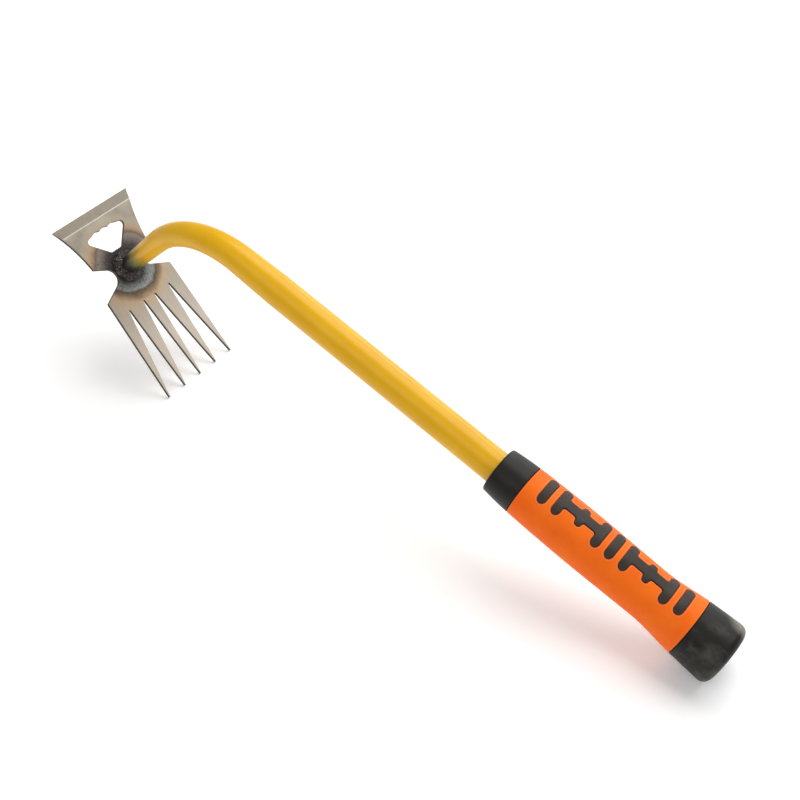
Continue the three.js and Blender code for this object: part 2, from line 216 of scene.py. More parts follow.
ACROSS = np.array([0, 1, 0])
head_back, head_back_out = mount("head_back_face")
butt, TO_BUTT = mount("butt_face")
OFF_PLATE = -head_back_out
TO_FORK = leaning(OFF_PLATE)
FOOT_AT = head_back + (PLATE * OFF_PLATE + HEAD_MOUNT_REACH * TO_FORK) * MM
UNDERSIDE = leaning(TO_BUTT)
GRIP_AT = butt - (GRIP * TO_BUTT + DROP_END * UNDERSIDE) * MM
GRIP_FROM = STUB + BEND_ANGLE * BEND_RADIUS + SHAFT_RUN


def on_head(lay):
    """Points given as (towards the fork, across, off the plate) from the tube's foot."""
    return FOOT_AT + MM * lay @ np.array([TO_FORK, ACROSS, OFF_PLATE])


def on_grip(lay):
    """Points given as (towards the underside, across, along) from the front of the collar."""
    return GRIP_AT + MM * lay @ np.array([UNDERSIDE, ACROSS, TO_BUTT])


# ---------------------------------------------------------------- outlines


def unit(vectors):
    """Each vector over its own length."""
    return vectors / np.linalg.norm(vectors, axis=-1, keepdims=True)


def arc(centre, radius, start, end, steps):
    """Centre + radius (cos a, sin a), for even steps of a from start to end."""
    a = np.linspace(start, end, steps + 1)
    return np.asarray(centre) + radius * np.column_stack([np.cos(a), np.sin(a)])


def quadratic(start, control, end, t):
    """(1 - t)^2 start + 2 t (1 - t) control + t^2 end."""
    t = np.asarray(t)[:, None]
    return (1 - t) ** 2 * start + 2 * t * (1 - t) * control + t**2 * end


def rounded(corners, steps=8):
    """A closed outline through corners (x, y, radius): each becomes an arc that touches both its
    sides, centred on the line that halves the corner, at radius / sin(half the corner's angle)."""
    corners = np.asarray(corners, float)
    at, radius = corners[:, :2], corners[:, 2:]
    back = unit(np.roll(at, 1, 0) - at)
    ahead = unit(np.roll(at, -1, 0) - at)
    half = np.arccos((back * ahead).sum(1, keepdims=True)) / 2
    centre = at + unit(back + ahead) * radius / np.sin(half)
    first = at + back * radius / np.tan(half) - centre
    last = at + ahead * radius / np.tan(half) - centre
    start = np.arctan2(first[:, 1], first[:, 0])
    turn = (np.arctan2(last[:, 1], last[:, 0]) - start + math.pi) % TURN - math.pi
    a = start[:, None] + turn[:, None] * np.linspace(0, 1, steps + 1)
    circle = np.stack([np.cos(a), np.sin(a)], -1)
    return (centre[:, None] + radius[:, None] * circle).reshape(-1, 2)


def subdivided(loop, step):
    """The closed loop with a point about every step of its length, its own corners kept."""
    closed = np.vstack([loop, loop[:1]])
    corners = np.r_[0, np.cumsum(np.linalg.norm(np.diff(closed, axis=0), axis=1))]
    even = np.arange(0, corners[-1], step)
    even = even[np.abs(even[:, None] - corners).min(1) > 0.4 * step]
    place = np.sort(np.r_[corners[:-1], even])
    return np.column_stack([np.interp(place, corners, closed[:, i]) for i in (0, 1)])


def moved_in(loop, distance):
    """The closed loop moved to the left of its direction: each corner moves along the sum of its
    two sides' normals, over 1 + their product, so that both sides stay parallel."""
    ahead = unit(np.roll(loop, -1, 0) - loop)
    after = np.column_stack([-ahead[:, 1], ahead[:, 0]])
    before = np.roll(after, 1, 0)
    return loop + distance * (before + after) / (1 + (before * after).sum(1))[:, None]


def inside(points, loops):
    """Whether each point lies within an odd number of the closed loops: it counts the sides that
    a line from the point to the right crosses."""
    x, y = points[:, :1], points[:, 1:]
    odd = np.zeros(len(points), bool)
    for loop in loops:
        (x0, y0), (x1, y1) = loop.T, np.roll(loop, -1, 0).T
        rise = np.where(y1 == y0, 1, y1 - y0)
        crosses = ((y0 > y) != (y1 > y)) & (x < x0 + (y - y0) * (x1 - x0) / rise)
        odd ^= crosses.sum(1) % 2 == 1
    return odd


# ---------------------------------------------------------------- meshes


def fill(loops, spots=(), creases=()):
    """Triangles between closed loops: the Delaunay triangulation of all the points, with the loops
    and the creases (pairs of point numbers) as fixed edges, and what lies outside left out."""
    edges = list(creases)
    first = 0
    for loop in loops:
        number = first + np.arange(len(loop))
        edges += np.column_stack([number, np.roll(number, -1)]).tolist()
        first += len(loop)
    points = np.vstack([*loops, *([spots] if len(spots) else [])])
    flat, _, faces, *_ = delaunay_2d_cdt([Vector(p) for p in points.tolist()], edges, [], 0, 1e-7)
    flat, faces = np.array(flat), np.array(faces)
    return flat, faces[inside(flat[faces].mean(1), loops)]


def quads(rows, columns, close_rows=False):
    """The faces between neighbouring points of a grid, numbered row by row. The last column meets
    the first, and the last row does too where close_rows says so."""
    r = np.arange(rows if close_rows else rows - 1)[:, None]
    c = np.arange(columns)[None, :]
    up, right = (r + 1) % rows, (c + 1) % columns
    corners = [r * columns + c, r * columns + right, up * columns + right, up * columns + c]
    return np.stack(corners, -1).reshape(-1, 4)


def piece(name, shells, finish, stands_for, sharp):
    """A piece that stands for a CAD node. Each shell is (points in metres, faces, lay, edge): lay
    is each point's place on the flat or straight piece, in millimetres, for the patterns, and
    edge is how far it belongs to an edge, from 0 to 1. Edges over sharp degrees stay sharp."""
    starts = np.cumsum([0] + [len(shell[0]) for shell in shells])
    faces = [face for start, shell in zip(starts, shells) for face in (shell[1] + start).tolist()]
    mesh = bpy.data.meshes.new(name)
    mesh.from_pydata(np.vstack([shell[0] for shell in shells]).tolist(), [], faces)
    lay = mesh.attributes.new("lay", "FLOAT_VECTOR", "POINT")
    lay.data.foreach_set("vector", np.vstack([shell[2] for shell in shells]).astype("f").ravel())
    edge = mesh.attributes.new("edge", "FLOAT", "POINT")
    edge.data.foreach_set("value", np.hstack([shell[3] for shell in shells]).astype("f"))
    body = bmesh.new()
    body.from_mesh(mesh)
    bmesh.ops.remove_doubles(body, verts=body.verts, dist=1e-6)
    bmesh.ops.recalc_face_normals(body, faces=body.faces)
    body.to_mesh(mesh)
    body.free()
    mesh.shade_smooth()
    mesh.set_sharp_from_angle(angle=math.radians(sharp))
    mesh.materials.append(finish)
    made = bpy.data.objects.new(name, mesh)
    bpy.context.scene.collection.objects.link(made)
    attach(made, "root")
    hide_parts(stands_for)


# ---------------------------------------------------------------- head plate


def blade_side():
    """The +Y side of the head, from the cutting edge's corner to the fork's shoulder: a hollow
    quadratic curve to the blade's foot, then a round notch that both straights touch."""
    corner = np.array([-BLADE_REACH, BLADE_WIDTH / 2])
    foot, shoulder, notch = (np.array(p) for p in (BLADE_FOOT, SHOULDER, NOTCH_CENTRE))
    down = unit(foot - corner)
    control = (corner + foot) / 2 + 2 * BLADE_SIDE_HOLLOW * np.array([down[1], -down[0]])
    t = np.linspace(0, 1, BLADE_SIDE_POINTS)
    reach = quadratic(corner, control, foot, t)[:, 0]
    facet = np.interp([RIDGE - RIDGE_FACET, RIDGE + RIDGE_FACET], reach, t)
    side = quadratic(corner, control, foot, np.sort(np.r_[t, facet]))

    def touch(point, turn):
        """Where the straight from a point touches the notch, on the side that turn says."""
        away = point - notch
        opening = math.acos(NOTCH_RADIUS / np.linalg.norm(away))
        return math.atan2(away[1], away[0]) + turn * opening

    hollow = arc(notch, NOTCH_RADIUS, touch(foot, 1), touch(shoulder, -1) + TURN, NOTCH_STEPS)
    return np.vstack([side, hollow, shoulder])


def fork():
    """The tips and slots from +Y to -Y: each slot ends in a half circle."""
    edge = []
    for i in range(TINES):
        tip = ((TINES - 1) / 2 - i) * TINE_PITCH
        edge.append([[TINE_REACH, tip + TINE_TIP / 2], [TINE_REACH, tip - TINE_TIP / 2]])
        if i < len(SLOT_PLACES):
            centre = (SLOT_REACH + SLOT_RADIUS, SLOT_PLACES[i])
            edge.append(arc(centre, SLOT_RADIUS, math.pi / 2, 1.5 * math.pi, SLOT_STEPS))
    return np.vstack(edge)


def hole():
    """The blade's hole: a wedge with round corners, whose wide side is a shallow arch of
    scallops, each a quadratic curve between two cusps."""
    reach = -HOLE_CORNERS[0][0]
    half = (SCALLOPS + 1) / 2 * SCALLOP_PITCH

    def arch(y):
        """The point of the arch at y."""
        return np.array([-reach - HOLE_ARCH * (1 - (y / half) ** 2), y])

    outline = [rounded(HOLE_CORNERS)]
    for i in range(SCALLOPS):
        start = (i - SCALLOPS / 2) * SCALLOP_PITCH
        middle = arch(start + SCALLOP_PITCH / 2) - [2 * SCALLOP_DEPTH, 0]
        t = np.linspace(0 if i == 0 else 1 / SCALLOP_POINTS, 1, SCALLOP_POINTS)
        outline.append(quadratic(arch(start), middle, arch(start + SCALLOP_PITCH), t))
    return np.vstack(outline)


def front_height(reach):
    """How high the front face is: level, then down a narrow facet, then down the ground bevel."""
    drop = CUTTING_EDGE - PLATE
    places = [-BLADE_REACH, RIDGE - RIDGE_FACET, RIDGE + RIDGE_FACET]
    return np.interp(reach, places, [drop, drop * RIDGE_FACET / BEVEL_LENGTH, 0])


def plate_points(flat, level):
    """Points of the plate: level is 0 on its back and 1 on its front face."""
    height = -PLATE + level * (front_height(flat[:, 0]) + PLATE)
    return np.column_stack([flat, height])


def head_outline():
    """The plate's outer outline, counter-clockwise seen from the front."""
    side = blade_side()
    return np.vstack([side, fork(), side[::-1] * [1, -1]])[::-1]


def head_plate(finish):
    """The stamped plate: its outline is carried down a rounded edge, a wall and another rounded
    edge, and both faces are filled between the rings of the outline and the hole."""
    outline = head_outline()
    a = np.linspace(0, math.pi / 2, SHEARED_EDGE_POINTS)
    inset = SHEARED_EDGE * (1 - np.sin(a))
    sunk = SHEARED_EDGE / PLATE * (1 - np.cos(a))
    insets = np.r_[inset, inset[::-1]]
    levels = np.r_[1 - sunk, sunk[::-1]]
    on_wall = np.r_[0, np.ones(len(insets) - 2), 0]
    shells, faces_at = [], []
    for loop in (outline, hole()):
        rings = [plate_points(moved_in(loop, d), level) for d, level in zip(insets, levels)]
        lay = np.vstack(rings)
        edge = np.repeat(on_wall, len(loop))
        shells.append((on_head(lay), quads(len(rings), len(loop)), lay, edge))
        faces_at.append(moved_in(loop, insets[0]))
    ridges = (RIDGE - RIDGE_FACET, RIDGE + RIDGE_FACET)
    near = [np.argsort(np.abs(outline[:, 0] - ridge))[:2].tolist() for ridge in ridges]
    for level, creases in ((1, near), (0, [])):
        flat, faces = fill(faces_at, creases=creases)
        lay = plate_points(flat, level)
        shells.append((on_head(lay), faces, lay, np.zeros(len(lay))))
    piece("head_plate_steel", shells, finish, "head_plate", sharp=12)


# ---------------------------------------------------------------- tube and weld


def bent(straight):
    """Straight points (x, across, length) bent so that their axis follows the tube's: a stub, one
    arc, and the shaft. x stays in the plane of the bend, square to the axis."""
    x, across, length = straight.T
    turn = np.clip((length - STUB) / BEND_RADIUS, 0, BEND_ANGLE)
    heading = STUB_HEADING + turn
    stub = np.minimum(length, STUB)
    rest = np.maximum(length - STUB - BEND_ANGLE * BEND_RADIUS, 0)
    sin, cos = math.sin(STUB_HEADING), math.cos(STUB_HEADING)
    reach = sin * stub + BEND_RADIUS * (cos - np.cos(heading)) + np.sin(heading) * rest
    height = cos * stub + BEND_RADIUS * (np.sin(heading) - sin) + np.cos(heading) * rest
    return np.column_stack([reach + x * np.cos(heading), across, height - x * np.sin(heading)])


def tube_radius(length):
    """The tube swells evenly from its neck to its full radius."""
    return NECK_RADIUS + (TUBE_RADIUS - NECK_RADIUS) * np.clip(length / TAPER, 0, 1)


def shaft_tube(finish):
    """A ring carried along the bent axis: down the outside, and back inside the wall, where every
    fourth ring will do."""
    end = GRIP_FROM + CORE_END - GAP
    along = np.linspace(FIRST_RING, GRIP_FROM, TUBE_ROWS)
    outside = np.unique(np.r_[GAP, along, GRIP_FROM + COLLAR, end])
    bore = np.r_[end, outside[::-4][1:-1], GAP]
    length = np.r_[outside, bore]
    radius = np.r_[tube_radius(outside), tube_radius(bore) - TUBE_WALL]
    a = np.linspace(0, TURN, TUBE_COLUMNS, endpoint=False)
    rings = [radius[:, None] * np.cos(a), radius[:, None] * np.sin(a)]
    lay = np.stack([*rings, np.broadcast_to(length[:, None], rings[0].shape)], -1).reshape(-1, 3)
    faces = quads(len(length), TUBE_COLUMNS, close_rows=True)
    shell = (on_head(bent(lay)), faces, lay, np.zeros(len(lay)))
    piece("shaft_tube_enamel", [shell], finish, "shaft_tube", sharp=50)


def weld_bead(finish):
    """Lumpy weld metal round the foot. Its section is a quarter ellipse from the tube's wall down
    to the plate, pushed out by many small bell-shaped lumps at random places, which die out at
    the wall. Its spatter is small balls half sunk in the plate."""
    rng = np.random.default_rng(WELD_SEED)
    a = np.linspace(0, TURN, WELD_COLUMNS, endpoint=False)[None, :]
    s = np.linspace(0, math.pi / 2, WELD_ROWS)[:, None]
    wander = sum(size * np.sin(waves * a + rng.uniform(0, TURN)) for waves, size in WELD_WANDER)
    push = np.zeros((WELD_ROWS, WELD_COLUMNS))
    for _ in range(LUMPS):
        middle_a, middle_s = rng.uniform(0, TURN), rng.uniform(*LUMP_PLACE)
        width = rng.uniform(*LUMP_WIDTH)
        round_it = ((a - middle_a + math.pi) % TURN - math.pi) * (NECK_RADIUS + WELD_LEG / 2)
        down_it = (s - middle_s) * WELD_HEIGHT
        bell = np.exp(-(round_it**2 + down_it**2) / width**2)
        push += rng.uniform(*LUMP_PUSH) * width * bell
    push *= np.sqrt(np.sin(2 * np.clip(s, 0, LUMPS_LEVEL_FROM)))
    radius = NECK_RADIUS + (WELD_LEG + wander + push) * np.sin(s)
    height = (WELD_HEIGHT + wander + push) * np.cos(s)
    rows = list(zip(radius, np.maximum(height, -WELD_SUNK / 2)))
    bore = np.full(WELD_COLUMNS, WELD_BORE)
    rows += [(radius[-1], -WELD_SUNK), (bore, -WELD_SUNK), (bore, WELD_HEIGHT / 2)]
    rings = [np.column_stack([r * np.cos(a[0]), r * np.sin(a[0]), h + 0 * r]) for r, h in rows]
    lay = np.vstack(rings)
    lay[:, 0] += math.tan(STUB_HEADING) * lay[:, 2]
    faces = quads(len(rings), WELD_COLUMNS, close_rows=True)
    shells = [(on_head(lay), faces, lay, np.zeros(len(lay)))]

    away = NECK_RADIUS + WELD_LEG + rng.gamma(*SPATTER_SPREAD, SPATTER)
    angle = rng.uniform(0, TURN, SPATTER)
    size = rng.uniform(*SPATTER_SIZE, SPATTER)
    at = np.column_stack([away * np.cos(angle), away * np.sin(angle), 0 * angle])
    on_plate = inside(at[:, :2], [head_outline(), hole()])
    rise = np.linspace(-1, 1, BALL_ROWS)[:, None] * math.pi / 2
    turn = np.arange(BALL_COLUMNS) * TURN / BALL_COLUMNS
    flat = [np.cos(rise) * np.cos(turn), np.cos(rise) * np.sin(turn)]
    ball = np.stack([*flat, np.sin(rise) + 0 * turn], -1).reshape(-1, 3)
    for middle, r in zip(at[on_plate], size[on_plate]):
        points = middle + r * ball
        faces = quads(BALL_ROWS, BALL_COLUMNS)
        shells.append((on_head(points), faces, points, np.ones(len(points))))
    piece("weld_bead_slag", shells, finish, "weld_bead", sharp=60)


# ---------------------------------------------------------------- grip


def smooth_line(stations, steps=24):
    """A Catmull-Rom curve through the stations: each stretch is a cubic whose end slopes are half
    the step between its neighbours."""
    p = np.array([stations[0], *stations, stations[-1]], float)
    a, b, c, d = (p[i : len(p) - 3 + i, None] for i in range(4))
    t = np.linspace(0, 1, steps + 1)[None, :, None]
    ends = (2 * t**3 - 3 * t**2 + 1) * b + (3 * t**2 - 2 * t**3) * c
    slopes = (t**3 - 2 * t**2 + t) * (c - a) / 2 + (t**3 - t**2) * (d - b) / 2
    return (ends + slopes).reshape(-1, 2)


GRIP_LINE = smooth_line(GRIP_STATIONS)


def grip_radius(along):
    """The grip's outside radius."""
    return np.interp(along, GRIP_LINE[:, 0], GRIP_LINE[:, 1])


def grip_drop(along):
    """How far the outside's centre hangs below the tube's axis."""
    return DROP_FRONT + (DROP_END - DROP_FRONT) * along / GRIP


def skin(along, angle, height):
    """Points on the grip's outside, at an angle from its top, raised by a height."""
    radius = grip_radius(along) + height
    return np.column_stack([
        grip_drop(along) - radius * np.cos(angle), radius * np.sin(angle), along + 0 * angle,
    ])


def turned(rows, angle):
    """Points at each angle from the top, for rows of (along, radius, hang): a circle of that radius
    about the tube's axis, or hung with the outside where hang is 1."""
    along, radius, hang = (np.array(value, float)[:, None] for value in zip(*rows))
    x = hang * grip_drop(along) - radius * np.cos(angle)
    return np.stack([x, radius * np.sin(angle), along + 0 * angle], -1).reshape(-1, 3)


def outer_edge(at, radius, side, steps=SEAM_STEPS):
    """Rows round an edge of the outside: an arc from the end face, at, to the outside. side is 1
    at a front edge and -1 at a back one."""
    a = np.linspace(0, math.pi / 2, steps + 1)
    along = at + side * radius * (1 - np.cos(a))
    size = grip_radius(at + side * radius) - radius * (1 - np.sin(a))
    return [(z, r, 1) for z, r in zip(along, size)]


def outer_rows(start, end, step=3):
    """Rows along the outside."""
    return [(z, grip_radius(z), 1) for z in np.linspace(start, end, int((end - start) / step) + 2)]


ALL_ROUND = np.linspace(0, TURN, GRIP_COLUMNS, endpoint=False)


def front_collar(finish):
    """Front collar: a turned cup over the core, with a lip that grips the tube."""
    bore, core = TUBE_RADIUS + 0.05, CORE_RADIUS + GAP
    rows = [(0, bore, 0), *outer_edge(0, COLLAR_EDGE, 1), *outer_rows(2, COLLAR - 1)]
    rows += outer_edge(COLLAR, SEAM_EDGE, -1)[::-1]
    rows += [(COLLAR, core, 0), (COLLAR_LIP, core, 0), (COLLAR_LIP, bore, 0)]
    lay = turned(rows, ALL_ROUND)
    faces = quads(len(rows), GRIP_COLUMNS, close_rows=True)
    shell = (on_grip(lay), faces, lay, np.zeros(len(lay)))
    piece("front_collar_rubber", [shell], finish, "front_collar", sharp=40)


def end_cap(finish):
    """End cap: a turned cup over the ends of the core and the tube, its butt flat."""
    core = CORE_RADIUS + GAP
    rows = [(CORE_END + GAP, 0, 0), (CORE_END + GAP, core, 0), (CAP_START, core, 0)]
    rows += outer_edge(CAP_START, SEAM_EDGE, 1)
    rows += outer_rows(CAP_START + 1, GRIP - CAP_EDGE - 0.5)
    rows += outer_edge(GRIP, CAP_EDGE, -1, steps=16)[::-1]
    rows += [(GRIP, r, 1) for r in (10, 5, 0)]
    lay = turned(rows, ALL_ROUND)
    shell = (on_grip(lay), quads(len(rows), GRIP_COLUMNS), lay, np.zeros(len(lay)))
    piece("end_cap_rubber", [shell], finish, "end_cap", sharp=40)


def bar_outline(at, growth):
    """A bar across the grip, its ends round, grown on all sides."""
    wide, span = PAD_BAR / 2 + growth, PAD_SPAN / 2 + growth
    corners = [(at - wide, -span), (at + wide, -span), (at + wide, span), (at - wide, span)]
    return rounded([(x, y, ROUND_SHARE * wide) for x, y in corners])


def h_outline(at, growth):
    """Two bars joined by a web, with a nub on each side of the web."""
    wide = PAD_BAR / 2 + growth
    end, inner, nub = H_LENGTH / 2, H_LENGTH / 2 - wide, NUB / 2 + growth
    bar, web, tip = PAD_SPAN / 2 + growth, WEB / 2 + growth, NUB_SPAN / 2 + growth
    half = [
        (end + wide, bar, ROUND_SHARE * wide),
        (inner, bar, ROUND_SHARE * wide),
        (inner, web, WEB_FILLET),
        (nub, web, WEB_FILLET),
        (nub - NUB_TAPER, tip, NUB_ROUND_SHARE * (nub - NUB_TAPER)),
    ]
    upper = half + [(-x, y, r) for x, y, r in half[::-1]]
    corners = upper + [(x, -y, r) for x, y, r in upper[::-1]]
    return rounded([(at + x, y, r) for x, y, r in corners])


def pad_row():
    """Each pad's name, outline and middle, from the collar to the cap."""
    bar, row = SLEEVE_START + PAD_FIRST, []
    for name, outline, length in (
        ("pad_bar_front", bar_outline, 0),
        ("pad_h_front", h_outline, H_LENGTH),
        ("pad_bar_middle", bar_outline, 0),
        ("pad_h_rear", h_outline, H_LENGTH),
        ("pad_bar_rear", bar_outline, 0),
    ):
        row.append((name, outline, bar + length / 2))
        bar += length + PAD_STEP
    return row


def unrolled(plan, under):
    """A plan (along, across) of the top, or of the underside, as (along, distance round)."""
    angle = np.arcsin(plan[:, 1] / grip_radius(plan[:, 0]))
    if under:
        angle = math.pi - angle
    return np.column_stack([plan[:, 0], UNROLL * angle])


def wrapped(flat, height):
    """Unrolled points (along, distance round) back on the grip's outside."""
    return skin(flat[:, 0], flat[:, 1] / UNROLL, height)


def counter_clockwise(loop):
    """The loop, turned round if it runs clockwise."""
    x, y = loop.T
    area = (x * np.roll(y, -1) - np.roll(x, -1) * y).sum()
    return loop if area > 0 else loop[::-1]


def lattice(loop, step):
    """Points of a square lattice inside the loop, half a step or more away from it."""
    low, high = loop.min(0), loop.max(0)
    sides = (np.arange(low[i], high[i], step) for i in (0, 1))
    grid = np.stack(np.meshgrid(*sides), -1).reshape(-1, 2)
    away = np.linalg.norm(grid[:, None] - loop[None], axis=2).min(1)
    return grid[inside(grid, [loop]) & (away > step / 2)]


def strip(rings, height, edge):
    """The faces between rings of unrolled points, each at its own height."""
    lay = np.vstack([wrapped(ring, h) for ring, h in zip(rings, height)])
    marks = np.repeat(edge, len(rings[0]))
    return on_grip(lay), quads(len(rings), len(rings[0])), lay, marks


def patch(flat, faces, height, edge):
    """Filled faces at one height."""
    lay = wrapped(flat, height)
    return on_grip(lay), faces, lay, np.full(len(lay), edge)


def grip_sleeve(finish):
    """The soft sleeve: a sheet unrolled from its skin, cut round each pad, where a low lip runs
    down into a pocket. Its ends are rounded, and it closes along its bore."""
    angle = np.linspace(-math.pi / 2, 1.5 * math.pi, SLEEVE_COLUMNS + 1)
    ends = SLEEVE_START + SLEEVE_END_STRIP, SLEEVE_END - SLEEVE_END_STRIP
    along = np.linspace(*ends, SLEEVE_ROWS)
    side = UNROLL * angle
    shells, rims = [], []
    spots = np.stack(np.meshgrid(along[1:-1], side[1:-1]), -1).reshape(-1, 2)
    for under in (False, True):
        for _, outline, at in pad_row():
            window = subdivided(outline(at, GAP), OUTLINE_STEP)
            window = counter_clockwise(unrolled(window, under))
            rings = [moved_in(window, -offset) for offset, _ in LIP] + [window]
            heights = [height for _, height in LIP] + [-POCKET]
            # Edge marks where the lip gets a painted highlight in the sleeve's colour
            shells.append(strip(rings, heights, [0, 0.5, 1, 1, 0.6, 0]))
            floor = fill([window], lattice(window, POCKET_STEP))
            shells.append(patch(*floor, -POCKET, 0))
            rims.append(rings[0])
            away = np.linalg.norm(spots[:, None] - rings[0][None], axis=2).min(1)
            spots = spots[~inside(spots, [rings[0]]) & (away > SKIN_CLEARANCE)]
    border = np.vstack([
        np.column_stack([along, np.full(SLEEVE_ROWS, side[0])]),
        np.column_stack([np.full(SLEEVE_COLUMNS - 1, along[-1]), side[1:-1]]),
        np.column_stack([along[::-1], np.full(SLEEVE_ROWS, side[-1])]),
        np.column_stack([np.full(SLEEVE_COLUMNS - 1, along[0]), side[-2:0:-1]]),
    ])
    shells.append(patch(*fill([border, *rims], spots), 0, 0))

    bore = CORE_RADIUS + GAP
    rows = [(along[0], grip_radius(along[0]), 1), *outer_edge(SLEEVE_START, SEAM_EDGE, 1)[::-1]]
    rows += [(SLEEVE_START, bore, 0), (SLEEVE_END, bore, 0)]
    rows += [*outer_edge(SLEEVE_END, SEAM_EDGE, -1), (along[-1], grip_radius(along[-1]), 1)]
    lay = turned(rows, angle[:-1])
    # The rounded ends get a fainter painted highlight
    seam_highlight = [0.4] * (SEAM_STEPS + 1)
    marks = np.repeat([0, *seam_highlight, 0, 0, *seam_highlight, 0], SLEEVE_COLUMNS)
    shells.append((on_grip(lay), quads(len(rows), SLEEVE_COLUMNS), lay, marks))
    piece("grip_sleeve_rubber", shells, finish, "grip_sleeve", sharp=40)


def grip_pad(name, outline, at, under, finish):
    """A pad in its pocket: its outline carried up a wall and round an edge, its faces filled."""
    loop = counter_clockwise(unrolled(subdivided(outline(at, 0), OUTLINE_STEP), under))
    a = np.linspace(0, math.pi / 2, PAD_EDGE_POINTS)
    insets = np.r_[0, PAD_EDGE * (1 - np.cos(a))]
    heights = np.r_[PAD_FOOT_GAP - POCKET, PAD_PROUD - PAD_EDGE * (1 - np.sin(a))]
    rings = [moved_in(loop, d) for d in insets]
    shells = [strip(rings, heights, np.r_[0, 0, 0.3, 0.6, 0.9, 1, 0.6])]
    for i, mark in ((-1, 0.6), (0, 0)):
        face = fill([rings[i]], lattice(rings[i], PAD_FACE_STEP))
        shells.append(patch(*face, heights[i], mark))
    stands_for = f"{name}_{'under' if under else 'top'}"
    piece(f"{stands_for}_rubber", shells, finish, stands_for, sharp=50)


# ---------------------------------------------------------------- materials

COLOUR_A, COLOUR_B, MIXED = 6, 7, 2  # the colour sockets of a Mix node
TINT_END = 36  # where the heat tints end, in millimetres from the tube's foot


def linear(code):
    """An sRGB hex colour as linear red, green, blue and alpha."""
    srgb = np.array([int(code[i : i + 2], 16) for i in (1, 3, 5)]) / 255
    light = np.where(srgb <= 0.04045, srgb / 12.92, ((srgb + 0.055) / 1.055) ** 2.4)
    return (*light.tolist(), 1.0)


def node(tree, kind, inputs, stops=(), **settings):
    """Adds a node: inputs are values, or other nodes' outputs, by socket name or number, and
    stops are the (place, hex colour) pairs of a colour ramp."""
    made = tree.nodes.new(f"ShaderNode{kind}")
    for key, value in settings.items():
        setattr(made, key, value)
    for key, value in inputs.items():
        if isinstance(value, bpy.types.NodeSocket):
            tree.links.new(value, made.inputs[key])
        else:
            made.inputs[key].default_value = value
    if stops:
        ramp = made.color_ramp
        for place, _ in stops[2:]:
            ramp.elements.new(place)
        for element, (place, code) in zip(ramp.elements, stops):
            element.position = place
            element.color = linear(code)
    return made


def tints(*rings):
    """The stops of a colour ramp from (millimetres from the tube's foot, hex colour) pairs."""
    return [(radius / TINT_END, code) for radius, code in rings]


def material(name, **constants):
    """A new material, with constants for its shader's sockets: (material, its tree, its shader,
    the lay and the edge of its surface)."""
    made = bpy.data.materials.new(name)
    made.use_nodes = True
    tree = made.node_tree
    shader = tree.nodes["Principled BSDF"]
    for key, value in constants.items():
        shader.inputs[key.replace("_", " ")].default_value = value
    lay = node(tree, "Attribute", {}, attribute_name="lay").outputs["Vector"]
    edge = node(tree, "Attribute", {}, attribute_name="edge").outputs["Fac"]
    return made, tree, shader, lay, edge


